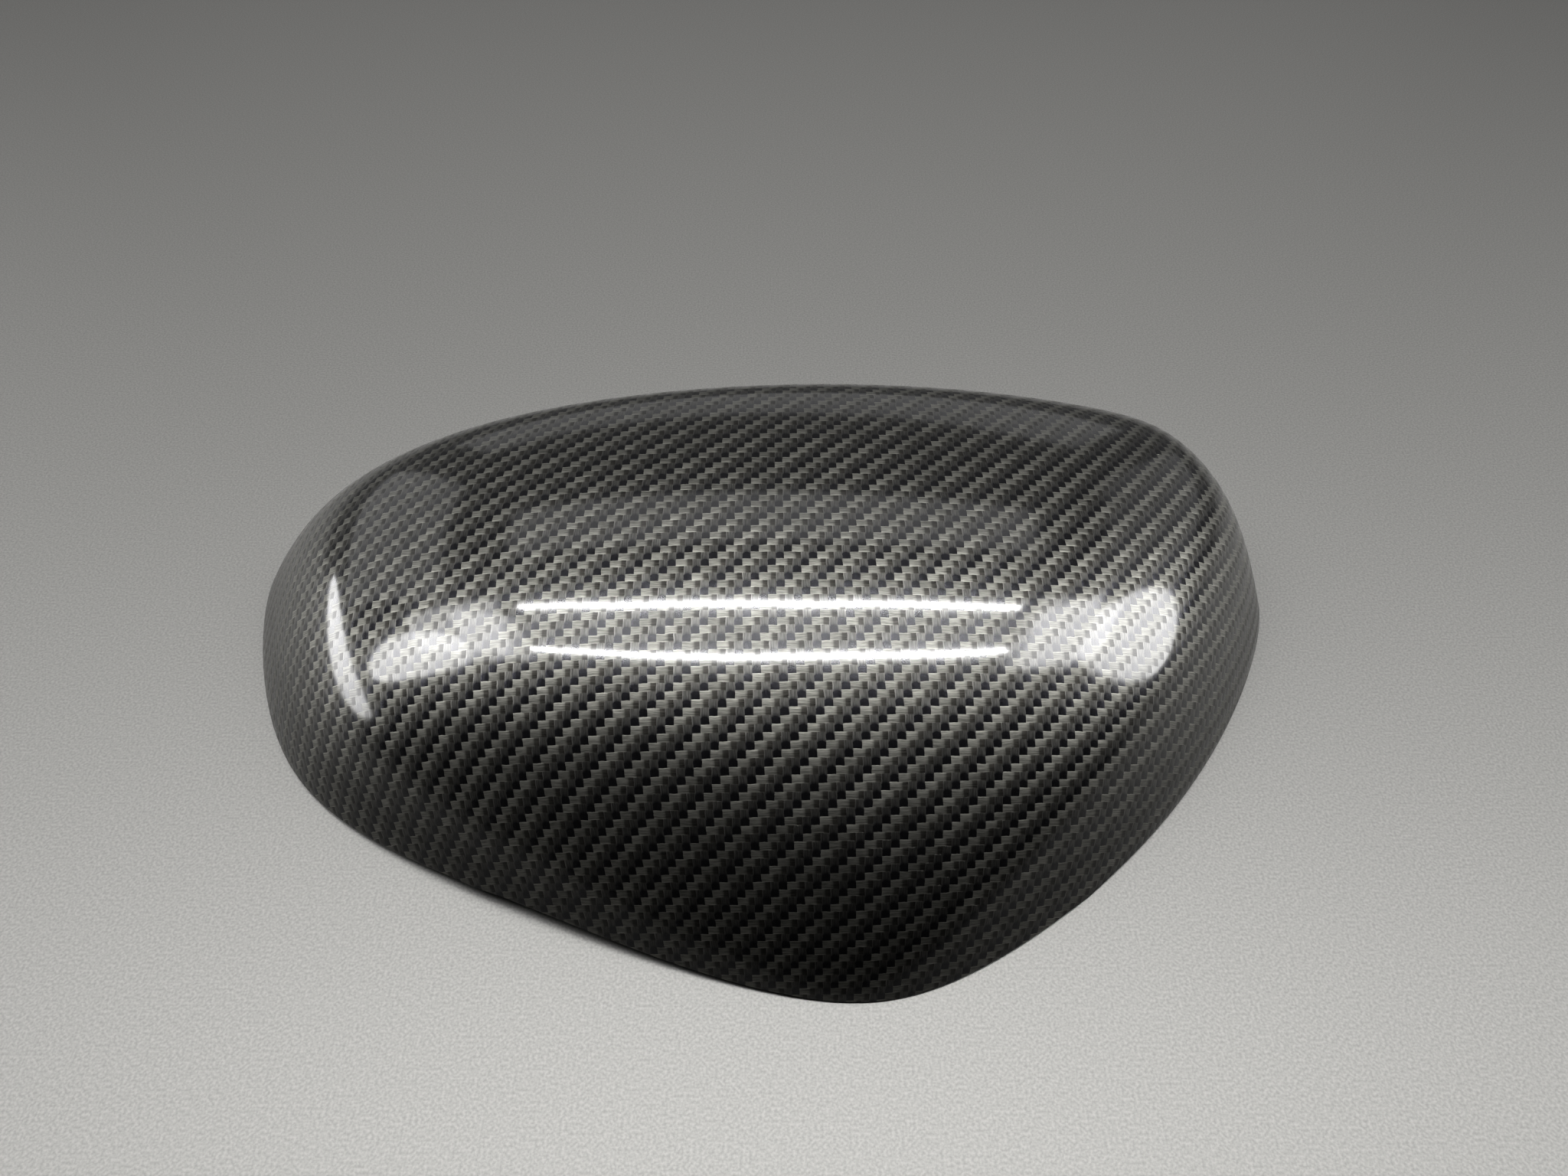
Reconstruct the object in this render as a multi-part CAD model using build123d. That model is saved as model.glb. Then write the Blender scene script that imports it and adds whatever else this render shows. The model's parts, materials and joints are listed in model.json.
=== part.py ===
from build123d import *
import math
import os

# Wing mirror cover: one moulded shell that lies on its rim with the open side down.
# Millimetres and degrees. The origin is the middle of the rim plane, X runs along the cover,
# Y across it and Z up.

# Moulding: the wall, how softly the faces run into each other, and the broken outer rim edge
WALL_THICKNESS = 2.5
EDGE_SOFTNESS = 9.1
RIM_EDGE_CHAMFER = 0.4

# Crown: a shallow dome, bent less along the cover than across it
CROWN_HEIGHT = 45.8
CROWN_X = 1.0
CROWN_Y = 23.0
CROWN_LENGTH_RADIUS = 282.0
CROWN_CROSS_RADIUS = 112.0

# Side walls: the way each one faces in plan, how far its rim line stands from the origin, its
# slope at the rim, the radius it rolls over with on the way up, and the radius and the middle of
# the bow of its rim line in plan
NEAR_LEFT_FACING = 257.0
NEAR_LEFT_REACH = 63.0
NEAR_LEFT_SLOPE = 64.0
NEAR_LEFT_ROLL = 998.0
NEAR_LEFT_BOW = 280.0
NEAR_LEFT_BOW_MIDDLE = 22.0

NEAR_RIGHT_FACING = 318.0
NEAR_RIGHT_REACH = 75.1
NEAR_RIGHT_SLOPE = 68.1
NEAR_RIGHT_ROLL = 22.0
NEAR_RIGHT_BOW = 161.0
NEAR_RIGHT_BOW_MIDDLE = 28.0

RIGHT_FACING = 10.0
RIGHT_REACH = 109.9
RIGHT_SLOPE = 72.9
RIGHT_ROLL = 60.0
RIGHT_BOW = 63.0
RIGHT_BOW_MIDDLE = 4.0

FAR_FACING = 91.0
FAR_REACH = 64.4
FAR_SLOPE = 71.7
FAR_ROLL = 348.0
FAR_BOW = 467.0
FAR_BOW_MIDDLE = -27.0

FAR_LEFT_FACING = 126.0
FAR_LEFT_REACH = 95.5
FAR_LEFT_SLOPE = 62.9
FAR_LEFT_ROLL = 78.0
FAR_LEFT_BOW = 848.0
FAR_LEFT_BOW_MIDDLE = 32.0

LEFT_FACING = 187.0
LEFT_REACH = 101.9
LEFT_SLOPE = 61.9
LEFT_ROLL = 34.0
LEFT_BOW = 145.0
LEFT_BOW_MIDDLE = -48.0

# Rim: the near left edge arches a little clear of the rim plane
ARCH_RISE = 2.5
ARCH_MIDDLE_X = -38.0
ARCH_HALF_WIDTH = 30.0
ARCH_DEPTH = 20.0

# Locating pins: stepped pins under the crown, each with a thicker root in a cross of fins that
# ends in one flat shoulder
PIN_PLACES = [(-46.0, 10.0), (46.0, 12.0)]
PIN_RADIUS = 3.0
PIN_ROOT_RADIUS = 4.2
PIN_TIP_HEIGHT = 15.0
PIN_TIP_CHAMFER = 0.8
PIN_SHOULDER_HEIGHT = 27.0
FIN_SPAN = 18.0
FIN_THICKNESS = 1.6

# Stiffening rib from pin to pin
RIB_DEPTH = 5.0

# Snap hooks: sprung tabs inside the rim, by the direction each one lies in from the origin
HOOK_DIRECTIONS = [28.0, 62.0, 118.0, 172.0, 212.0, 262.0, 322.0]
HOOK_TIP_HEIGHT = 3.0
HOOK_LENGTH = 12.0
HOOK_WIDTH = 10.0
HOOK_THICKNESS = 2.0
HOOK_BARB = 1.8
HOOK_BARB_HEIGHT = 3.6

# Skin sampling: the pitch of the section curves and the margin around the rim that is cut off
SECTION_PITCH = 6.0
SKIRT_MARGIN = 14.0


def leaning_wall(facing, reach, slope, roll, bow, bow_middle):
    """Gives the height of one side wall over any point of the plan."""
    out_x = math.cos(math.radians(facing))
    out_y = math.sin(math.radians(facing))
    steepness = math.tan(math.radians(slope))
    level_inset = steepness * roll

    def height(x, y):
        outward = x * out_x + y * out_y
        along = y * out_x - x * out_y
        inset = reach - outward - (along - bow_middle) ** 2 / (2 * bow)
        inset = min(inset, level_inset)
        return steepness * inset - max(inset, 0) ** 2 / (2 * roll)

    return height


def crown(x, y):
    """Height of the crown dome over a point of the plan."""
    along = (x - CROWN_X) ** 2 / (2 * CROWN_LENGTH_RADIUS)
    across = (y - CROWN_Y) ** 2 / (2 * CROWN_CROSS_RADIUS)
    return CROWN_HEIGHT - along - across


FACES = [
    crown,
    leaning_wall(
        NEAR_LEFT_FACING,
        NEAR_LEFT_REACH,
        NEAR_LEFT_SLOPE,
        NEAR_LEFT_ROLL,
        NEAR_LEFT_BOW,
        NEAR_LEFT_BOW_MIDDLE,
    ),
    leaning_wall(
        NEAR_RIGHT_FACING,
        NEAR_RIGHT_REACH,
        NEAR_RIGHT_SLOPE,
        NEAR_RIGHT_ROLL,
        NEAR_RIGHT_BOW,
        NEAR_RIGHT_BOW_MIDDLE,
    ),
    leaning_wall(
        RIGHT_FACING,
        RIGHT_REACH,
        RIGHT_SLOPE,
        RIGHT_ROLL,
        RIGHT_BOW,
        RIGHT_BOW_MIDDLE,
    ),
    leaning_wall(
        FAR_FACING,
        FAR_REACH,
        FAR_SLOPE,
        FAR_ROLL,
        FAR_BOW,
        FAR_BOW_MIDDLE,
    ),
    leaning_wall(
        FAR_LEFT_FACING,
        FAR_LEFT_REACH,
        FAR_LEFT_SLOPE,
        FAR_LEFT_ROLL,
        FAR_LEFT_BOW,
        FAR_LEFT_BOW_MIDDLE,
    ),
    leaning_wall(
        LEFT_FACING,
        LEFT_REACH,
        LEFT_SLOPE,
        LEFT_ROLL,
        LEFT_BOW,
        LEFT_BOW_MIDDLE,
    ),
]


def skin_height(x, y):
    """Height of the outer skin: a soft minimum rounds the step from one face to the next."""
    heights = [face(x, y) for face in FACES]
    lowest = min(heights)
    total = sum(math.exp((lowest - height) / EDGE_SOFTNESS) for height in heights)
    return lowest - EDGE_SOFTNESS * math.log(total)


def skin_lean(x, y):
    """How steeply the outer skin climbs along X and along Y."""
    step = 0.01
    lean_x = (skin_height(x + step, y) - skin_height(x - step, y)) / (2 * step)
    lean_y = (skin_height(x, y + step) - skin_height(x, y - step)) / (2 * step)
    return lean_x, lean_y


def point_under_skin(x, y, depth):
    """The point at a depth square to the outer skin under (x, y)."""
    lean_x, lean_y = skin_lean(x, y)
    inward = Vector(lean_x, lean_y, -1).normalized()
    return Vector(x, y, skin_height(x, y)) + inward * depth


def rim_height(x, y):
    """Height of the rim over the rim plane: the arch along the near left edge fades out smoothly."""
    along = math.exp(-(((x - ARCH_MIDDLE_X) / ARCH_HALF_WIDTH) ** 2))
    toward_edge = min(max(-y / ARCH_DEPTH, 0), 1)
    return ARCH_RISE * along * toward_edge**2 * (3 - 2 * toward_edge)


def spaced(low, high):
    """Evenly spaced values from low to high, at most one section pitch apart."""
    count = math.ceil((high - low) / SECTION_PITCH)
    return [low + (high - low) * i / count for i in range(count + 1)]


def lofted_face(point_at):
    """A smooth face over the whole plan, lofted through spline sections across the cover."""
    columns = spaced(-LEFT_REACH - SKIRT_MARGIN, RIGHT_REACH + SKIRT_MARGIN)
    rows = spaced(-NEAR_RIGHT_REACH - SKIRT_MARGIN, FAR_REACH + SKIRT_MARGIN)
    shares = [i / (len(rows) - 1) for i in range(len(rows))]
    sections = []
    for x in columns:
        points = [point_at(x, y) for y in rows]
        sections.append(Wire([Edge.make_spline(points, parameters=shares)]))
    return Shell.make_loft(sections).faces()[0]


def under_skin(depth):
    """The solid under the outer skin, or under the skin taken in by a depth."""
    skin = lofted_face(lambda x, y: point_under_skin(x, y, depth))
    return Solid.extrude(skin, Vector(0, 0, -2 * CROWN_HEIGHT))


def wall_place(direction, height):
    """The point of the inner skin that lies in a direction from the origin at a height."""
    out_x = math.cos(math.radians(direction))
    out_y = math.sin(math.radians(direction))
    near = 0.0
    far = LEFT_REACH + RIGHT_REACH
    while far - near > 0.001:
        middle = (near + far) / 2
        if point_under_skin(middle * out_x, middle * out_y, WALL_THICKNESS).Z > height:
            near = middle
        else:
            far = middle
    return near * out_x, near * out_y


def snap_hook(direction):
    """A tab hanging from the inner skin, with an inward barb: lead-in below, catch above."""
    x, y = wall_place(direction, HOOK_TIP_HEIGHT + HOOK_LENGTH)
    root = point_under_skin(x, y, WALL_THICKNESS)
    lean_x, lean_y = skin_lean(x, y)
    facing = math.degrees(math.atan2(-lean_y, -lean_x))
    outside = HOOK_THICKNESS / 2
    catch = HOOK_TIP_HEIGHT + HOOK_BARB_HEIGHT
    profile = Polyline(
        (outside, HOOK_TIP_HEIGHT),
        (outside, CROWN_HEIGHT),
        (-outside, CROWN_HEIGHT),
        (-outside, catch),
        (-outside - HOOK_BARB, catch),
        (-outside, HOOK_TIP_HEIGHT),
        close=True,
    )
    side = Plane(origin=(root.X, root.Y, 0), x_dir=(1, 0, 0), z_dir=(0, -1, 0))
    tab = extrude(side * make_face(profile), HOOK_WIDTH / 2, both=True)
    return tab.rotate(Axis((root.X, root.Y, 0), (0, 0, 1)), facing)


def locating_pin(x, y):
    """A round pin with a chamfered tip, on a root and a cross of fins that hold it under the crown."""
    pin_length = PIN_SHOULDER_HEIGHT - PIN_TIP_HEIGHT
    pin = Pos(x, y, PIN_TIP_HEIGHT + pin_length / 2) * Cylinder(PIN_RADIUS, pin_length)
    tip = pin.edges().group_by(Axis.Z)[0]
    pin = chamfer(tip, PIN_TIP_CHAMFER)
    root_height = CROWN_HEIGHT - PIN_SHOULDER_HEIGHT
    root_place = Pos(x, y, PIN_SHOULDER_HEIGHT + root_height / 2)
    root = root_place * Cylinder(PIN_ROOT_RADIUS, root_height)
    along = root_place * Box(FIN_SPAN, FIN_THICKNESS, root_height)
    across = root_place * Box(FIN_THICKNESS, FIN_SPAN, root_height)
    return pin + root + along + across


def stiffening_rib(under_inner_skin):
    """A thin rib that follows the inner skin from pin to pin."""
    (left_x, left_y), (right_x, right_y) = PIN_PLACES
    length = math.hypot(right_x - left_x, right_y - left_y)
    turn = math.degrees(math.atan2(right_y - left_y, right_x - left_x))
    middle = Pos((left_x + right_x) / 2, (left_y + right_y) / 2, CROWN_HEIGHT / 2)
    plate = middle * Rot(0, 0, turn) * Box(length, FIN_THICKNESS, CROWN_HEIGHT)
    return plate - Pos(0, 0, -RIB_DEPTH) * under_inner_skin


outer = under_skin(0)
hollow = under_skin(WALL_THICKNESS)
rim = lofted_face(lambda x, y: Vector(x, y, rim_height(x, y)))
above_rim = Solid.extrude(rim, Vector(0, 0, 2 * CROWN_HEIGHT))

shell = (outer - hollow) & above_rim
rim_face = shell.faces().sort_by(Axis.Z)[0]
shell = chamfer(rim_face.outer_wire().edges(), RIM_EDGE_CHAMFER)

inside = stiffening_rib(hollow)
for pin_x, pin_y in PIN_PLACES:
    inside += locating_pin(pin_x, pin_y)
for hook_direction in HOOK_DIRECTIONS:
    inside += snap_hook(hook_direction)
cover = shell + (inside & outer)

os.makedirs("parts", exist_ok=True)
export_step(cover, "parts/mirror_cover.step")
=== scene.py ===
import json
import math
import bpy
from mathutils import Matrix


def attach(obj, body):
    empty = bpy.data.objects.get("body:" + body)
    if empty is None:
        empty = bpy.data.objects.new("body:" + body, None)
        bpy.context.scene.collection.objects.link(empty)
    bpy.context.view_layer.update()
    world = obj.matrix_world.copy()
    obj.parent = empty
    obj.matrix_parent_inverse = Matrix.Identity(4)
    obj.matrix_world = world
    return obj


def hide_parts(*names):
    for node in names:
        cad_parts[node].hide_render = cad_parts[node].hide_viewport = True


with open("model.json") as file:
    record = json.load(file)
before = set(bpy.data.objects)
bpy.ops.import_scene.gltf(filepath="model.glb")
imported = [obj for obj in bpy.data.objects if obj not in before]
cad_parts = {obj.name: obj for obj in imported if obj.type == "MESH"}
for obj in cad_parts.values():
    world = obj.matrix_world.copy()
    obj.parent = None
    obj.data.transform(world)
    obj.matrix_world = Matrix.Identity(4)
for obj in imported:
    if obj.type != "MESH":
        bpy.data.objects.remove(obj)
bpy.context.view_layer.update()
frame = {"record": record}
from types import SimpleNamespace

import bpy
import numpy as np

# The shell: a thin domed cover of injection-moulded plastic, lying on its rim with the open side
# down. Its outer skin is a crown and six leaning side walls that run softly into each other.
# Sizes of the cover are in millimetres and degrees, and meshes are brought to metres.
MM = 0.001
WALL_THICKNESS = 2.5
EDGE_SOFTNESS = 9.1
CROWN_HEIGHT = 45.8
CROWN_X = 1.0
CROWN_Y = 23.0
CROWN_LENGTH_RADIUS = 282.0
CROWN_CROSS_RADIUS = 112.0
# Each side wall: facing in plan, reach of its rim line, slope at the rim, roll-over radius, and
# the radius and the middle of the bow of its rim line
SIDE_WALLS = {
    "near_left": (257.0, 63.0, 64.0, 998.0, 280.0, 22.0),
    "near_right": (318.0, 75.1, 68.1, 22.0, 161.0, 28.0),
    "right": (10.0, 109.9, 72.9, 60.0, 63.0, 4.0),
    "far": (91.0, 64.4, 71.7, 348.0, 467.0, -27.0),
    "far_left": (126.0, 95.5, 62.9, 78.0, 848.0, 32.0),
    "left": (187.0, 101.9, 61.9, 34.0, 145.0, -48.0),
}
# The near left edge of the rim arches a little clear of the rim plane
ARCH_RISE = 2.5
ARCH_MIDDLE_X = -38.0
ARCH_HALF_WIDTH = 30.0
ARCH_DEPTH = 20.0
GRID_DIVISIONS = 176
GRID_MIDDLE_X = 4.0
GRID_MIDDLE_Y = 6.0
LEAN_STEP = 0.01
RIM_SEARCH_REACH = 160.0
RIM_HALVINGS = 34
RIM_ROUND = 0.45
RIM_ROUND_SEGMENTS = 3


def side_wall_height(x, y, facing, reach, slope, roll, bow, bow_middle):
    """Height of one side wall: it climbs from its bowed rim line and rolls over to level."""
    out_x = math.cos(math.radians(facing))
    out_y = math.sin(math.radians(facing))
    steepness = math.tan(math.radians(slope))
    along = y * out_x - x * out_y
    inset = reach - x * out_x - y * out_y - (along - bow_middle) ** 2 / (2 * bow)
    inset = np.minimum(inset, steepness * roll)
    return steepness * inset - np.maximum(inset, 0) ** 2 / (2 * roll)


def skin_height(x, y):
    """Height of the outer skin: the lowest of the crown and the walls, with softened meetings."""
    crown = CROWN_HEIGHT - (x - CROWN_X) ** 2 / (2 * CROWN_LENGTH_RADIUS)
    crown = crown - (y - CROWN_Y) ** 2 / (2 * CROWN_CROSS_RADIUS)
    walls = [side_wall_height(x, y, *wall) for wall in SIDE_WALLS.values()]
    heights = np.stack([crown, *walls])
    lowest = heights.min(axis=0)
    softened = np.exp((lowest - heights) / EDGE_SOFTNESS).sum(axis=0)
    return lowest - EDGE_SOFTNESS * np.log(softened)


def skin_lean(x, y):
    """How steeply the outer skin climbs along X and along Y."""
    lean_x = (skin_height(x + LEAN_STEP, y) - skin_height(x - LEAN_STEP, y)) / (2 * LEAN_STEP)
    lean_y = (skin_height(x, y + LEAN_STEP) - skin_height(x, y - LEAN_STEP)) / (2 * LEAN_STEP)
    return lean_x, lean_y


def point_under_skin(x, y, depth):
    """The points at a depth square to the outer skin."""
    lean_x, lean_y = skin_lean(x, y)
    share = depth / np.sqrt(lean_x**2 + lean_y**2 + 1)
    return np.stack([x + lean_x * share, y + lean_y * share, skin_height(x, y) - share], axis=-1)


def height_in_wall(x, y, depth):
    """Height straight below (x, y) of the surface that lies at a depth in the wall."""
    lean_x, lean_y = skin_lean(x, y)
    return skin_height(x, y) - depth * np.sqrt(lean_x**2 + lean_y**2 + 1)


def rim_height(x, y):
    """Height of the rim: flat, with the arch in its near left edge."""
    along = np.exp(-(((x - ARCH_MIDDLE_X) / ARCH_HALF_WIDTH) ** 2))
    toward_edge = np.clip(-y / ARCH_DEPTH, 0, 1)
    return ARCH_RISE * along * toward_edge**2 * (3 - 2 * toward_edge)


def rim_reach(way_x, way_y, depth):
    """How far the skin runs from the middle of the grid until it meets the rim."""
    near = np.zeros_like(way_x)
    far = np.full_like(way_x, RIM_SEARCH_REACH)
    for halving in range(RIM_HALVINGS):
        middle = (near + far) / 2
        x = GRID_MIDDLE_X + way_x * middle
        y = GRID_MIDDLE_Y + way_y * middle
        point = point_under_skin(x, y, depth)
        above = point[:, 2] > rim_height(point[:, 0], point[:, 1])
        near = np.where(above, middle, near)
        far = np.where(above, far, middle)
    return near


def skin_grid(name, depth):
    """A flat grid drawn out to the round of the rim and laid on the skin, or at a depth under it."""
    bpy.ops.object.select_all(action="DESELECT")
    bpy.ops.mesh.primitive_grid_add(x_subdivisions=GRID_DIVISIONS, y_subdivisions=GRID_DIVISIONS, size=2)
    grid = bpy.context.object
    grid.name = name
    flat = np.empty(len(grid.data.vertices) * 3)
    grid.data.vertices.foreach_get("co", flat)
    square_x = flat[0::3]
    square_y = flat[1::3]
    disc_x = square_x * np.sqrt(1 - square_y**2 / 2)
    disc_y = square_y * np.sqrt(1 - square_x**2 / 2)
    turn = np.arctan2(disc_y, disc_x)
    way_x = np.cos(turn)
    way_y = np.sin(turn)
    reach = np.hypot(disc_x, disc_y) * rim_reach(way_x, way_y, depth)
    points = point_under_skin(GRID_MIDDLE_X + way_x * reach, GRID_MIDDLE_Y + way_y * reach, depth)
    grid.data.vertices.foreach_set("co", (points * MM).ravel())
    grid.data.update()
    return grid


# The lining is turned to face inwards, joined to the skin and bridged to it round the rim, and
# the skin's side of the rim is rounded
shell = skin_grid("mirror_cover_shell", 0.0)
skin_vertices = len(shell.data.vertices)
skin_grid("lining", WALL_THICKNESS)
bpy.ops.object.mode_set(mode="EDIT")
bpy.ops.mesh.select_all(action="SELECT")
bpy.ops.mesh.flip_normals()
bpy.ops.object.mode_set(mode="OBJECT")
shell.select_set(True)
bpy.context.view_layer.objects.active = shell
bpy.ops.object.join()
bpy.ops.object.mode_set(mode="EDIT")
bpy.ops.mesh.select_mode(type="EDGE")
bpy.ops.mesh.select_all(action="DESELECT")
bpy.ops.mesh.select_non_manifold()
bpy.ops.object.mode_set(mode="OBJECT")
open_edges = [edge.index for edge in shell.data.edges if edge.select]
skin_rim = [index for index in open_edges if max(shell.data.edges[index].vertices) < skin_vertices]
bpy.ops.object.mode_set(mode="EDIT")
bpy.ops.mesh.bridge_edge_loops()
bpy.ops.mesh.select_all(action="DESELECT")
bpy.ops.object.mode_set(mode="OBJECT")
for index in skin_rim:
    shell.data.edges[index].select = True
bpy.ops.object.mode_set(mode="EDIT")
bpy.ops.mesh.bevel(offset=RIM_ROUND * MM, segments=RIM_ROUND_SEGMENTS, affect="EDGES")
bpy.ops.object.mode_set(mode="OBJECT")

# The print: a carbon-look twill film, two over and two under, drawn down over the crown and the
# walls and sealed under a glossy clear coat. Each vertex carries its place on the film, counted
# in cells of the weave, in a UV map.
FILM_LENGTH = 100.0
FILM_WIDTH = 60.0
FILM_DROP = 45.0
# Cells along X: in one film length, fanned towards the far side, slanted down the drop, gathered
# at the lower corners and taken up low on the end walls
CELLS_ALONG = 71.0
FANNED = 3.0
SLANTED = 2.8
GATHERED = 11.8
TAKEN_UP = 25.0
TAKEN_UP_FROM = 0.45
# Cells along Y: in one film width, drawn down the drop, more so at the left, crowded to the far
# side, and on the far wall drawn down the other way
CELLS_ACROSS = 39.75
DRAWN_DOWN = 15.6
DRAWN_LEFT = 2.6
CROWDED = 5.3
CROWDED_DROP = 8.3
FAR_DRAWN_DOWN = 42.0
FAR_FROM = 0.65
FAR_SPAN = 0.35


def film_place(x, y, z):
    """Where on the film each point lies, in cells along X and along Y."""
    length = x / FILM_LENGTH
    width = y / FILM_WIDTH
    drop = (FILM_DROP - z) / FILM_DROP
    along = (CELLS_ALONG + FANNED * width) * length - SLANTED * drop
    along = along + GATHERED * length * width**2 * drop
    along = along + TAKEN_UP * length**3 * np.maximum(drop - TAKEN_UP_FROM, 0) ** 2
    far = np.clip((width - FAR_FROM) / FAR_SPAN, 0, 1)
    far = far**2 * (3 - 2 * far)
    across = (CELLS_ACROSS + CROWDED * width) * width
    across = across - (DRAWN_DOWN + DRAWN_LEFT * length + CROWDED_DROP * width**2) * drop
    across = across + FAR_DRAWN_DOWN * far * drop
    return np.stack([along, across], axis=-1)


places = np.empty(len(shell.data.vertices) * 3)
shell.data.vertices.foreach_get("co", places)
places = places.reshape(-1, 3) / MM
film = film_place(places[:, 0], places[:, 1], places[:, 2])
corner_vertices = np.empty(len(shell.data.loops), dtype=int)
shell.data.loops.foreach_get("vertex_index", corner_vertices)
for spare in list(shell.data.uv_layers):
    shell.data.uv_layers.remove(spare)
film_map = shell.data.uv_layers.new(name="film")
film_map.data.foreach_set("uv", film[corner_vertices].ravel())


def feed(tree, socket, value):
    """Gives an input socket its value: a link from another node, or a plain number."""
    if isinstance(value, bpy.types.NodeSocket):
        tree.links.new(value, socket)
    else:
        socket.default_value = value


def joined(tree, operation, *values):
    """One Math node, fed by sockets or plain numbers."""
    node = tree.nodes.new("ShaderNodeMath")
    node.operation = operation
    for socket, value in zip(node.inputs, values):
        feed(tree, socket, value)
    return node.outputs[0]


# A Mix node's sockets for each kind of data: share, first value, second value, and result
MIX_SOCKETS = {"FLOAT": (0, 2, 3, 0), "RGBA": (0, 6, 7, 2)}


def blended(tree, share, first, second, data_type="FLOAT"):
    """One Mix node: the first value where share is 0, the second where it is 1."""
    node = tree.nodes.new("ShaderNodeMix")
    node.data_type = data_type
    share_in, first_in, second_in, result = MIX_SOCKETS[data_type]
    feed(tree, node.inputs[share_in], share)
    feed(tree, node.inputs[first_in], first)
    feed(tree, node.inputs[second_in], second)
    return node.outputs[result]


def ramped(tree, value, stops):
    """A colour ramp over stops of (place, grey or colour)."""
    node = tree.nodes.new("ShaderNodeValToRGB")
    elements = node.color_ramp.elements
    while len(elements) < len(stops):
        elements.new(0.5)
    for element, (place, colour) in zip(elements, stops):
        element.position = place
        if not isinstance(colour, tuple):
            colour = (colour, colour, colour)
        element.color = (*colour, 1)
    tree.links.new(value, node.inputs[0])
    return node.outputs[0]


def vector_of(tree, x, y, z=0.0):
    """One vector of three values."""
    node = tree.nodes.new("ShaderNodeCombineXYZ")
    for socket, value in zip(node.inputs, (x, y, z)):
        feed(tree, socket, value)
    return node.outputs[0]


def noise(tree, vector, scale, detail=2.0):
    """A soft random value between 0 and 1."""
    node = tree.nodes.new("ShaderNodeTexNoise")
    node.inputs["Scale"].default_value = scale
    node.inputs["Detail"].default_value = detail
    tree.links.new(vector, node.inputs["Vector"])
    return node.outputs[0]


def gain_from(tree, value, spread):
    """A gain around 1 that follows a value between 0 and 1."""
    return joined(tree, "MULTIPLY_ADD", value, spread, 1 - spread / 2)


def raise_relief(tree, shader, height, strength, depth):
    """Raises a surface by a height that changes over it."""
    bump = tree.nodes.new("ShaderNodeBump")
    bump.inputs["Strength"].default_value = strength
    bump.inputs["Distance"].default_value = depth * MM
    tree.links.new(height, bump.inputs["Height"])
    tree.links.new(bump.outputs[0], shader.inputs["Normal"])


def new_material(name):
    """A material, its node tree and its surface shader."""
    material = bpy.data.materials.new(name)
    material.use_nodes = True
    tree = material.node_tree
    return material, tree, tree.nodes["Principled BSDF"]


# The weave: a tow shows for two cells in a repeat of four, and its edges wander a little
TWILL_REPEAT = 4.0
TOW_FLOAT = 2.0
TOW_WANDER = 0.22
WANDER_SCALE = 0.9
WANDER_OFFSET = 31.7
BLACK_END_BOW = 0.12
# Tones of the print, which has a metallic ground: weft tows run along the rows, light at their
# left end and dark at their right end; warp tows run down the columns, grey at the top and
# black at the bottom
WEFT_TONES = [
    (0.0, (0.186, 0.184, 0.164)),
    (0.52, (0.170, 0.168, 0.149)),
    (0.64, (0.122, 0.120, 0.106)),
    (0.73, (0.040, 0.038, 0.033)),
    (1.0, (0.026, 0.024, 0.021)),
]
WARP_TONES = [
    (0.0, (0.090, 0.088, 0.081)),
    (0.36, (0.074, 0.073, 0.069)),
    (0.48, (0.040, 0.040, 0.040)),
    (0.58, (0.020, 0.020, 0.024)),
    (1.0, (0.016, 0.016, 0.020)),
]
PRINT_METAL = 0.97
WEFT_ROUGHNESS = 0.43
WARP_ROUGHNESS = [(0.40, 0.34), (0.58, 0.24)]
# Fine fibres along each tow, a slight difference from tow to tow, and light lines along the weft's
# edges and the warp's left edge
FIBRES_PER_CELL = 7.0
FIBRE_WAVES_PER_CELL = 0.6
FIBRE_DETAIL = 3.0
FIBRE_SPREAD = 2.4
WARP_FIBRE_OFFSET = 5.0
TOW_SPREAD = 0.4
WEFT_EDGE_LINE = [(0.72, 1.0), (0.84, 1.4)]
WARP_EDGE_LINE = [(0.06, 1.7), (0.16, 1.0)]
RELIEF_STRENGTH = 0.4
RELIEF_DEPTH = 0.06
FIBRE_RELIEF = 0.6
# The clear coat lies fullest on the warp tows and least on the dark end of a weft tow
WARP_COAT = 1.0
WEFT_COAT = [(0.60, 0.8), (0.74, 0.7)]
COAT_ROUGHNESS = 0.09
COAT_INDEX = 1.75
# Up to this height from the rim the print's colour is darkened and its clear coat is thinned: a painted
# shade that darkens the low walls near the rim
LOW_WALL_SHADE_HEIGHT = 24.0
LOW_WALL_PAINTED_SHADE = [(0.25, 0.45), (1.0, 1.0)]
LOW_WALL_COAT_SHADE = [(0.25, 0.3), (1.0, 1.0)]


def wandering(tree, place, vector):
    """A place along the film, shifted a little to and fro."""
    shift = noise(tree, vector, WANDER_SCALE)
    shift = joined(tree, "MULTIPLY_ADD", shift, TOW_WANDER, -TOW_WANDER / 2)
    return joined(tree, "ADD", place, shift)


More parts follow.
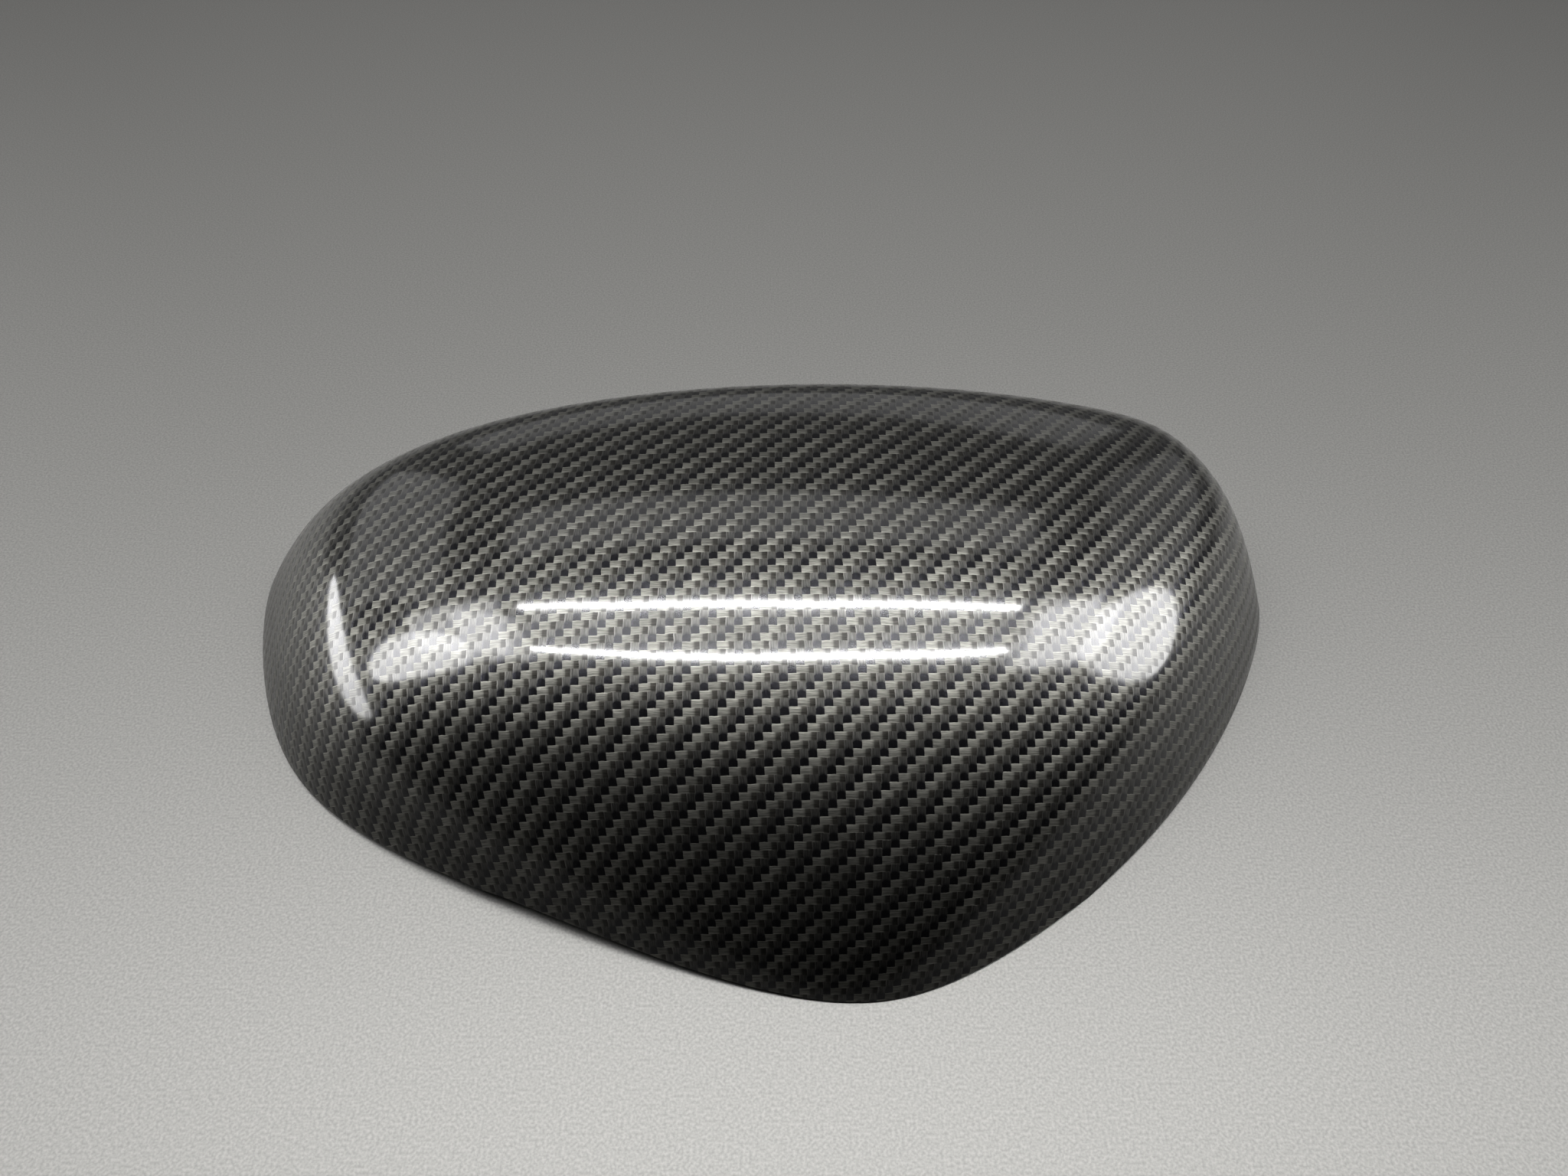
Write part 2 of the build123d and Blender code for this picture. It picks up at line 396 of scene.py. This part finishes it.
def weave_on(tree, film_spot):
    """Which tow shows at each spot of the film, and where on that tow the spot lies."""
    parts = tree.nodes.new("ShaderNodeSeparateXYZ")
    tree.links.new(film_spot, parts.inputs[0])
    film_u = parts.outputs[0]
    film_v = parts.outputs[1]
    u = wandering(tree, film_u, film_spot)
    v = wandering(tree, film_v, vector_of(tree, film_v, film_u, WANDER_OFFSET))
    column = joined(tree, "FLOOR", u)
    row = joined(tree, "FLOOR", v)
    across_column = joined(tree, "SUBTRACT", u, column)
    up_row = joined(tree, "SUBTRACT", v, row)
    step = joined(tree, "FLOORED_MODULO", joined(tree, "SUBTRACT", column, row), TWILL_REPEAT)
    weft = joined(tree, "LESS_THAN", step, TOW_FLOAT - 0.5)
    # Distance from the tow's middle line, 0 there and 1 at its edges
    across = blended(tree, weft, across_column, up_row)
    edge = joined(tree, "ABSOLUTE", joined(tree, "MULTIPLY_ADD", across, 2.0, -1.0))
    edge_square = joined(tree, "MULTIPLY", edge, edge)
    along_weft = joined(tree, "MULTIPLY", joined(tree, "ADD", step, across_column), 1 / TOW_FLOAT)
    # The black end of a warp tow starts lower at its edges
    down_warp = joined(tree, "SUBTRACT", joined(tree, "SUBTRACT", step, TOW_FLOAT - 1), up_row)
    along_warp = joined(tree, "MULTIPLY", down_warp, 1 / TOW_FLOAT)
    along_warp = joined(tree, "MULTIPLY_ADD", edge_square, -BLACK_END_BOW, along_warp)
    return SimpleNamespace(
        u=u,
        v=v,
        column=column,
        row=row,
        step=step,
        weft=weft,
        across_column=across_column,
        edge=edge,
        edge_square=edge_square,
        along_weft=along_weft,
        along_warp=along_warp,
    )


def fibres_in(tree, weave):
    """The fine fibres, which run along whichever tow shows."""
    fine_u = joined(tree, "MULTIPLY", weave.u, FIBRES_PER_CELL)
    fine_v = joined(tree, "MULTIPLY", weave.v, FIBRES_PER_CELL)
    slow_u = joined(tree, "MULTIPLY", weave.u, FIBRE_WAVES_PER_CELL)
    slow_v = joined(tree, "MULTIPLY", weave.v, FIBRE_WAVES_PER_CELL)
    weft_fibre = noise(tree, vector_of(tree, slow_u, fine_v), 1.0, FIBRE_DETAIL)
    warp_fibre = noise(tree, vector_of(tree, fine_u, slow_v, WARP_FIBRE_OFFSET), 1.0, FIBRE_DETAIL)
    return blended(tree, weave.weft, warp_fibre, weft_fibre)


def tow_gain(tree, weave):
    """One random gain for each tow, the same over all the cells in which it shows."""
    tow_x = blended(tree, weave.weft, weave.column, joined(tree, "SUBTRACT", weave.column, weave.step))
    tow_y = blended(tree, weave.weft, joined(tree, "ADD", weave.row, weave.step), weave.row)
    tow = tree.nodes.new("ShaderNodeTexWhiteNoise")
    tow.noise_dimensions = "3D"
    tree.links.new(vector_of(tree, tow_x, tow_y, weave.weft), tow.inputs["Vector"])
    return gain_from(tree, tow.outputs["Value"], TOW_SPREAD)


def twill_print():
    """The printed film under its clear coat."""
    material, tree, shader = new_material("carbon_look_print")
    film_uv = tree.nodes.new("ShaderNodeUVMap")
    film_uv.uv_map = "film"
    weave = weave_on(tree, film_uv.outputs[0])
    fibre = fibres_in(tree, weave)
    place = tree.nodes.new("ShaderNodeSeparateXYZ")
    tree.links.new(tree.nodes.new("ShaderNodeTexCoord").outputs["Object"], place.inputs[0])
    up_wall = joined(tree, "DIVIDE", place.outputs[2], LOW_WALL_SHADE_HEIGHT * MM)

    weft_tone = ramped(tree, weave.along_weft, WEFT_TONES)
    warp_tone = ramped(tree, weave.along_warp, WARP_TONES)
    tone = blended(tree, weave.weft, warp_tone, weft_tone, "RGBA")
    weft_line = ramped(tree, weave.edge, WEFT_EDGE_LINE)
    warp_line = ramped(tree, weave.across_column, WARP_EDGE_LINE)
    gain = joined(tree, "MULTIPLY", gain_from(tree, fibre, FIBRE_SPREAD), tow_gain(tree, weave))
    gain = joined(tree, "MULTIPLY", gain, blended(tree, weave.weft, warp_line, weft_line))
    # The print's colour is darkened low on the walls, near the rim: painted shade
    gain = joined(tree, "MULTIPLY", gain, ramped(tree, up_wall, LOW_WALL_PAINTED_SHADE))
    scaled = tree.nodes.new("ShaderNodeVectorMath")
    scaled.operation = "SCALE"
    tree.links.new(tone, scaled.inputs[0])
    tree.links.new(gain, scaled.inputs["Scale"])
    tree.links.new(scaled.outputs[0], shader.inputs["Base Color"])
    shader.inputs["Metallic"].default_value = PRINT_METAL
    warp_roughness = ramped(tree, weave.along_warp, WARP_ROUGHNESS)
    roughness = blended(tree, weave.weft, warp_roughness, WEFT_ROUGHNESS)
    tree.links.new(roughness, shader.inputs["Roughness"])

    coat = blended(tree, weave.weft, WARP_COAT, ramped(tree, weave.along_weft, WEFT_COAT))
    # The clear coat is thinned low on the walls, which dims their reflections there: painted shade
    coat = joined(tree, "MULTIPLY", coat, ramped(tree, up_wall, LOW_WALL_COAT_SHADE))
    tree.links.new(coat, shader.inputs["Coat Weight"])
    shader.inputs["Coat Roughness"].default_value = COAT_ROUGHNESS
    shader.inputs["Coat IOR"].default_value = COAT_INDEX

    rounded_tow = joined(tree, "SUBTRACT", 1.0, weave.edge_square)
    relief = joined(tree, "MULTIPLY_ADD", fibre, FIBRE_RELIEF, rounded_tow)
    raise_relief(tree, shader, relief, RELIEF_STRENGTH, RELIEF_DEPTH)
    return material


# The bare plastic of the inside and the rim: black, slightly mottled, with a fine moulded grain
PLASTIC_TONES = [(0.3, 0.010), (0.7, 0.016)]
PLASTIC_ROUGHNESS = 0.36
PLASTIC_ROUGHNESS_SPREAD = 0.2
MOTTLE_SCALE = 60.0
MOTTLE_DETAIL = 3.0
GRAIN_SCALE = 2600.0
GRAIN_STRENGTH = 0.25
GRAIN_DEPTH = 0.05


def moulded_plastic():
    """The uncoated plastic where the print ends."""
    material, tree, shader = new_material("bare_black_plastic")
    place = tree.nodes.new("ShaderNodeTexCoord").outputs["Object"]
    mottle = noise(tree, place, MOTTLE_SCALE, MOTTLE_DETAIL)
    tree.links.new(ramped(tree, mottle, PLASTIC_TONES), shader.inputs["Base Color"])
    roughness = joined(tree, "MULTIPLY_ADD", mottle, PLASTIC_ROUGHNESS_SPREAD, PLASTIC_ROUGHNESS)
    tree.links.new(roughness, shader.inputs["Roughness"])
    raise_relief(tree, shader, noise(tree, place, GRAIN_SCALE), GRAIN_STRENGTH, GRAIN_DEPTH)
    return material


print_coat = twill_print()
bare_plastic = moulded_plastic()


def give_finishes(piece):
    """The print as a piece's first finish and the bare plastic as its second."""
    piece.data.materials.clear()
    piece.data.materials.append(print_coat)
    piece.data.materials.append(bare_plastic)


# The print covers the outer skin and, to this depth, the rounded rim edge; the rest is bare
PRINTED_DEPTH = 0.6
give_finishes(shell)
centres = np.empty(len(shell.data.polygons) * 3)
shell.data.polygons.foreach_get("center", centres)
centres = centres.reshape(-1, 3) / MM
lean_x, lean_y = skin_lean(centres[:, 0], centres[:, 1])
depth_in_wall = skin_height(centres[:, 0], centres[:, 1]) - centres[:, 2]
depth_in_wall = depth_in_wall / np.sqrt(lean_x**2 + lean_y**2 + 1)
shell.data.polygons.foreach_set("material_index", (depth_in_wall > PRINTED_DEPTH).astype(int))

# The inside: two stepped locating pins, each on a thick root in a cross of fins, a stiffening rib
# between them, and seven snap hooks round the rim, all moulded in one with the shell. The pins
# find holes in the mirror housing and the hooks snap over its edge.
PIN_PLACES = [
    (mount["pos_m"][0] / MM, mount["pos_m"][1] / MM)
    for mount in frame["record"]["mounts"]
    if mount["kind"] == "pin"
]
PIN_RADIUS = 3.0
PIN_ROOT_RADIUS = 4.2
PIN_TIP_HEIGHT = 15.0
PIN_TIP_CHAMFER = 0.8
PIN_SHOULDER_HEIGHT = 27.0
PIN_SIDES = 48
FIN_SPAN = 18.0
FIN_THICKNESS = 1.6
FIN_STEPS = 6
RIB_DEPTH = 5.0
RIB_STEPS = 24
HOOK_DIRECTIONS = [28.0, 62.0, 118.0, 172.0, 212.0, 262.0, 322.0]
HOOK_TIP_HEIGHT = 3.0
HOOK_LENGTH = 12.0
HOOK_WIDTH = 10.0
HOOK_THICKNESS = 2.0
HOOK_BARB = 1.8
HOOK_BARB_HEIGHT = 3.6
HOOK_HALVINGS = 40
MOULDED_EDGE = 0.25
MOULDED_EDGE_SEGMENTS = 2
SHARP_EDGE_ANGLE = 50.0
SMOOTH_ANGLE = 38.0
# Vertices this near to a height lie at it, and corners nearer than the weld gap are one corner
NEARNESS = 0.01
WELD_GAP = 0.001


def wall_height(vertex, depth):
    """Height over a vertex of the surface that lies at a depth in the wall, in metres."""
    x = np.array([vertex.co.x / MM])
    y = np.array([vertex.co.y / MM])
    return height_in_wall(x, y, depth)[0] * MM


def root_in_wall(piece, top):
    """Carries the vertices above a height up into the middle of the wall over them."""
    for vertex in piece.data.vertices:
        if vertex.co.z > top * MM:
            vertex.co.z = wall_height(vertex, WALL_THICKNESS / 2)


def select_where(piece, wanted):
    """Selects the vertices that pass a test, and what they span, and opens the mesh for editing."""
    bpy.ops.object.mode_set(mode="EDIT")
    bpy.ops.mesh.select_mode(type="VERT")
    bpy.ops.mesh.select_all(action="DESELECT")
    bpy.ops.object.mode_set(mode="OBJECT")
    for vertex in piece.data.vertices:
        vertex.select = wanted(vertex.co)
    bpy.ops.object.mode_set(mode="EDIT")


def weld_corners():
    """Makes one corner of corners that lie a hair apart, on the piece in hand."""
    bpy.ops.object.mode_set(mode="EDIT")
    bpy.ops.mesh.select_all(action="SELECT")
    bpy.ops.mesh.remove_doubles(threshold=WELD_GAP * MM)
    bpy.ops.object.mode_set(mode="OBJECT")


def soften_edges(piece):
    """Breaks the sharp edges of an inside piece as a mould does."""
    bevel = piece.modifiers.new("moulded_edges", "BEVEL")
    bevel.width = MOULDED_EDGE * MM
    bevel.segments = MOULDED_EDGE_SEGMENTS
    bevel.limit_method = "ANGLE"
    bevel.angle_limit = math.radians(SHARP_EDGE_ANGLE)
    bpy.context.view_layer.objects.active = piece
    bpy.ops.object.modifier_apply(modifier=bevel.name)


def add_plate(middle_x, middle_y, low, high, length, thickness, turn, steps):
    """A standing plate by its middle, heights, length and thickness, cut into steps along it."""
    bpy.ops.object.select_all(action="DESELECT")
    bpy.ops.mesh.primitive_cube_add(size=1)
    plate = bpy.context.object
    plate.scale = (length * MM, thickness * MM, (high - low) * MM)
    bpy.ops.object.transform_apply(location=False, rotation=False, scale=True)
    bpy.ops.object.mode_set(mode="EDIT")
    for step in range(1, steps):
        bpy.ops.mesh.select_all(action="SELECT")
        cut = (step / steps - 0.5) * length * MM
        bpy.ops.mesh.bisect(plane_co=(cut, 0, 0), plane_no=(1, 0, 0))
    bpy.ops.object.mode_set(mode="OBJECT")
    plate.rotation_euler = (0, 0, turn)
    plate.location = (middle_x * MM, middle_y * MM, (low + high) / 2 * MM)
    bpy.ops.object.transform_apply(location=True, rotation=True, scale=True)
    return plate


def add_round(x, y, low, length, radius):
    """An upright round bar by its place, its lower end, its length and its radius."""
    bpy.ops.object.select_all(action="DESELECT")
    bpy.ops.mesh.primitive_cylinder_add(
        vertices=PIN_SIDES,
        radius=radius * MM,
        depth=length * MM,
        location=(x * MM, y * MM, (low + length / 2) * MM),
    )
    bpy.ops.object.transform_apply(location=True, rotation=False, scale=False)
    return bpy.context.object


def add_fin(x, y, turn):
    """One fin of the cross round a pin's root."""
    return add_plate(x, y, PIN_SHOULDER_HEIGHT, CROWN_HEIGHT, FIN_SPAN, FIN_THICKNESS, turn, FIN_STEPS)


def locating_pin(x, y):
    """The pin with its chamfered tip, its root and its two fins, as separate pieces to be united."""
    pin_length = PIN_SHOULDER_HEIGHT + MOULDED_EDGE - PIN_TIP_HEIGHT
    pin = add_round(x, y, PIN_TIP_HEIGHT, pin_length, PIN_RADIUS)
    select_where(pin, lambda place: place.z < (PIN_TIP_HEIGHT + NEARNESS) * MM)
    bpy.ops.mesh.bevel(offset=PIN_TIP_CHAMFER * MM, segments=1, affect="EDGES")
    bpy.ops.object.mode_set(mode="OBJECT")
    root_length = CROWN_HEIGHT - PIN_SHOULDER_HEIGHT
    root = add_round(x, y, PIN_SHOULDER_HEIGHT, root_length, PIN_ROOT_RADIUS)
    fin_along = add_fin(x, y, 0)
    fin_across = add_fin(x, y, math.pi / 2)
    for held in (root, fin_along, fin_across):
        root_in_wall(held, PIN_SHOULDER_HEIGHT + MOULDED_EDGE)
        soften_edges(held)
    return [pin, root, fin_along, fin_across]


def stiffening_rib():
    """The thin rib from pin to pin, which follows the inner skin."""
    (left_x, left_y), (right_x, right_y) = PIN_PLACES
    length = math.hypot(right_x - left_x, right_y - left_y)
    turn = math.atan2(right_y - left_y, right_x - left_x)
    middle_x = (left_x + right_x) / 2
    middle_y = (left_y + right_y) / 2
    rib = add_plate(
        middle_x, middle_y, PIN_SHOULDER_HEIGHT, CROWN_HEIGHT, length, FIN_THICKNESS, turn, RIB_STEPS
    )
    for vertex in rib.data.vertices:
        if vertex.co.z < (PIN_SHOULDER_HEIGHT + CROWN_HEIGHT) / 2 * MM:
            vertex.co.z = wall_height(vertex, WALL_THICKNESS) - RIB_DEPTH * MM
        else:
            vertex.co.z = wall_height(vertex, WALL_THICKNESS / 2)
    soften_edges(rib)
    return rib


def hook_place(direction):
    """Where a hook's root meets the inner skin, and the way the wall faces there."""
    way_x = math.cos(math.radians(direction))
    way_y = math.sin(math.radians(direction))
    near = 0.0
    far = RIM_SEARCH_REACH
    for halving in range(HOOK_HALVINGS):
        middle = (near + far) / 2
        height = point_under_skin(np.array(middle * way_x), np.array(middle * way_y), WALL_THICKNESS)[2]
        if height > HOOK_TIP_HEIGHT + HOOK_LENGTH:
            near = middle
        else:
            far = middle
    skin_x = np.array(near * way_x)
    skin_y = np.array(near * way_y)
    lean_x, lean_y = skin_lean(skin_x, skin_y)
    root = point_under_skin(skin_x, skin_y, WALL_THICKNESS)
    return root[0], root[1], math.atan2(-lean_y, -lean_x)


def snap_hook(direction):
    """A sprung tab with a wedge-shaped barb inside its tip: lead-in below, catch above."""
    x, y, facing = hook_place(direction)
    bpy.ops.object.select_all(action="DESELECT")
    bpy.ops.mesh.primitive_cube_add(size=1)
    hook = bpy.context.object
    tab_length = CROWN_HEIGHT - HOOK_TIP_HEIGHT
    hook.scale = (HOOK_THICKNESS * MM, HOOK_WIDTH * MM, tab_length * MM)
    hook.location = (0, 0, (HOOK_TIP_HEIGHT + tab_length / 2) * MM)
    bpy.ops.object.transform_apply(location=True, rotation=False, scale=True)
    catch = (HOOK_TIP_HEIGHT + HOOK_BARB_HEIGHT) * MM
    bpy.ops.object.mode_set(mode="EDIT")
    bpy.ops.mesh.select_all(action="SELECT")
    bpy.ops.mesh.bisect(plane_co=(0, 0, catch), plane_no=(0, 0, 1))
    select_where(hook, lambda place: place.x < 0 and place.z < catch + NEARNESS * MM)
    bpy.ops.mesh.select_mode(type="FACE")
    bpy.ops.mesh.extrude_region_move(TRANSFORM_OT_translate={"value": (-HOOK_BARB * MM, 0, 0)})
    bpy.ops.object.mode_set(mode="OBJECT")
    for vertex in hook.data.vertices:
        if vertex.co.x < -HOOK_THICKNESS * MM and vertex.co.z < catch - NEARNESS * MM:
            vertex.co.x = -HOOK_THICKNESS / 2 * MM
    weld_corners()
    hook.rotation_euler = (0, 0, facing)
    hook.location = (x * MM, y * MM, 0)
    bpy.ops.object.transform_apply(location=True, rotation=True, scale=True)
    root_in_wall(hook, HOOK_TIP_HEIGHT + HOOK_LENGTH)
    soften_edges(hook)
    return hook


def unite(base, added):
    """Makes one closed mesh of two, and drops the second."""
    union = base.modifiers.new("moulded_in", "BOOLEAN")
    union.operation = "UNION"
    union.solver = "EXACT"
    union.object = added
    bpy.context.view_layer.objects.active = base
    bpy.ops.object.modifier_apply(modifier=union.name)
    bpy.data.objects.remove(added)


inside = stiffening_rib()
for x, y in PIN_PLACES:
    for piece in locating_pin(x, y):
        unite(inside, piece)
hooks = [snap_hook(direction) for direction in HOOK_DIRECTIONS]
bpy.ops.object.select_all(action="DESELECT")
for piece in hooks:
    piece.select_set(True)
inside.select_set(True)
bpy.context.view_layer.objects.active = inside
bpy.ops.object.join()
give_finishes(inside)
for face in inside.data.polygons:
    face.material_index = 1
unite(shell, inside)
bpy.ops.object.select_all(action="DESELECT")
shell.select_set(True)
bpy.context.view_layer.objects.active = shell
weld_corners()
bpy.ops.object.shade_smooth_by_angle(angle=math.radians(SMOOTH_ANGLE))

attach(shell, "root")
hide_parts("mirror_cover")

# The stage: a plain pale floor with a satin, finely speckled face, a hair below the rim. The sizes
# and places of the floor, the lamps and the camera are in metres.
FLOOR_GAP = 0.0001
FLOOR_SIZE = 40.0
FLOOR_TONES = [(0.3, (0.39, 0.386, 0.372)), (0.7, (0.54, 0.534, 0.515))]
FLOOR_METAL = 0.8
FLOOR_ROUGHNESS = 0.58
SPECKLE_SCALE = 2200.0
bpy.ops.object.select_all(action="DESELECT")
bpy.ops.mesh.primitive_plane_add(size=FLOOR_SIZE, location=(0, 0, -FLOOR_GAP))
floor = bpy.context.object
floor.name = "floor"
floor_material, floor_tree, floor_shader = new_material("pale_floor")
floor_spot = floor_tree.nodes.new("ShaderNodeTexCoord").outputs["Object"]
floor_tone = ramped(floor_tree, noise(floor_tree, floor_spot, SPECKLE_SCALE), FLOOR_TONES)
floor_tree.links.new(floor_tone, floor_shader.inputs["Base Color"])
floor_shader.inputs["Metallic"].default_value = FLOOR_METAL
floor_shader.inputs["Roughness"].default_value = FLOOR_ROUGHNESS
floor.data.materials.append(floor_material)

# The lamps: two tubes and dimmer panels overhead, upright bands of light off both ends, and dim cards
# beyond them. The low bands light the cover alone, so no bright patch falls on the floor.
TUBE_HEIGHT = 0.45
TUBE_LENGTH = 0.56
TUBE_WIDTH = 0.005
TUBE_BRIGHTNESS = 83.0
PANEL_HEIGHT = 0.455
END_REACH = 0.9
FACING_DOWN = (0, 0, 0)
DOWN_AND_SKEWED = (0, 0, 2)
FACING_NEAR = (-90, 0, 0)
FACING_RIGHT = (0, -90, 0)
FACING_LEFT = (0, 90, 0)
cover_alone = bpy.data.collections.new("cover_alone")
cover_alone.objects.link(shell)


def lamp(name, place, turn, length, width, brightness, lit=None, shape="RECTANGLE"):
    """A flat lamp of a size and brightness, turned from facing down, on all or only on what is lit."""
    panel = bpy.data.lights.new(name, "AREA")
    panel.shape = shape
    panel.size = length
    panel.size_y = width
    area = length * width
    if shape == "ELLIPSE":
        area *= math.pi / 4
    panel.energy = brightness * math.pi * area
    holder = bpy.data.objects.new(name, panel)
    bpy.context.collection.objects.link(holder)
    holder.location = place
    holder.rotation_euler = [math.radians(angle) for angle in turn]
    holder.light_linking.receiver_collection = lit


def low_band(name, place, turn, length, width, brightness):
    """A rounded band of light near the floor, for the cover alone."""
    lamp(name, place, turn, length, width, brightness, cover_alone, "ELLIPSE")


lamp("far_tube", (0.0, 0.072, TUBE_HEIGHT), FACING_DOWN, TUBE_LENGTH, TUBE_WIDTH, TUBE_BRIGHTNESS)
lamp("near_tube", (0.0, -0.027, TUBE_HEIGHT), DOWN_AND_SKEWED, TUBE_LENGTH, TUBE_WIDTH, TUBE_BRIGHTNESS)
lamp("ceiling_panel", (0.0, 0.022, PANEL_HEIGHT), FACING_DOWN, length=0.56, width=0.085, brightness=1.1)
lamp("left_panel", (-0.50, 0.02, PANEL_HEIGHT), FACING_DOWN, length=0.36, width=0.16, brightness=3.0)
lamp("right_panel", (0.50, 0.02, PANEL_HEIGHT), FACING_DOWN, length=0.36, width=0.16, brightness=3.0)
lamp("far_panel", (0.0, 0.27, PANEL_HEIGHT), FACING_DOWN, length=0.60, width=0.13, brightness=0.5)
lamp("far_card", (0.0, 0.80, 0.34), FACING_NEAR, length=1.0, width=0.26, brightness=0.3)
lamp("left_band", (-END_REACH, 0.01, 1.22), FACING_RIGHT, length=0.56, width=0.38, brightness=3.25)
low_band("left_low_band", (-END_REACH, -0.085, 0.62), FACING_RIGHT, length=0.80, width=0.27, brightness=6.2)
low_band("left_foot", (-END_REACH, 0.09, 0.08), FACING_RIGHT, length=0.13, width=0.62, brightness=6.0)
lamp("left_card", (-END_REACH, 0.66, 0.55), FACING_RIGHT, length=0.7, width=0.83, brightness=0.4)
lamp("right_band", (END_REACH, 0.05, 1.15), FACING_LEFT, length=0.70, width=0.36, brightness=3.25)
low_band("right_low_band", (END_REACH, 0.03, 0.46), FACING_LEFT, length=0.86, width=0.32, brightness=6.0)
lamp("right_card", (END_REACH, 0.66, 0.55), FACING_LEFT, length=0.7, width=0.83, brightness=0.2)

# The world beyond the lamps: dim on the far side and darker on the near side, so that what the
# cover mirrors between the lamps stays dark
WORLD_TONES = [(0.45, 0.018), (0.8, 0.08)]
world = bpy.data.worlds.new("studio")
bpy.context.scene.world = world
world.use_nodes = True
world_tree = world.node_tree
heading = world_tree.nodes.new("ShaderNodeSeparateXYZ")
world_tree.links.new(world_tree.nodes.new("ShaderNodeTexCoord").outputs["Generated"], heading.inputs[0])
far_share = joined(world_tree, "MULTIPLY_ADD", heading.outputs[1], 0.5, 0.5)
world_tone = ramped(world_tree, far_share, WORLD_TONES)
world_tree.links.new(world_tone, world_tree.nodes["Background"].inputs[0])

# The camera: above the near side, looking down at the photograph's viewing angle. Its focal length
# is counted in pixels of the photograph's width.
CAMERA_PLACE = (0.004625, -0.149375, 0.180)
CAMERA_TILT = 44.5
FOCAL_PIXELS = 1545
PHOTOGRAPH_WIDTH_PIXELS = 2048
SENSOR_WIDTH = 36
NEAREST_SEEN = 0.005
camera_data = bpy.data.cameras.new("camera")
camera = bpy.data.objects.new("camera", camera_data)
bpy.context.collection.objects.link(camera)
camera.location = CAMERA_PLACE
camera.rotation_euler = (math.radians(CAMERA_TILT), 0, 0)
camera_data.sensor_fit = "HORIZONTAL"
camera_data.sensor_width = SENSOR_WIDTH
camera_data.lens = SENSOR_WIDTH * FOCAL_PIXELS / PHOTOGRAPH_WIDTH_PIXELS
camera_data.clip_start = NEAREST_SEEN
bpy.context.scene.camera = camera
bpy.context.scene.view_settings.view_transform = "Standard"
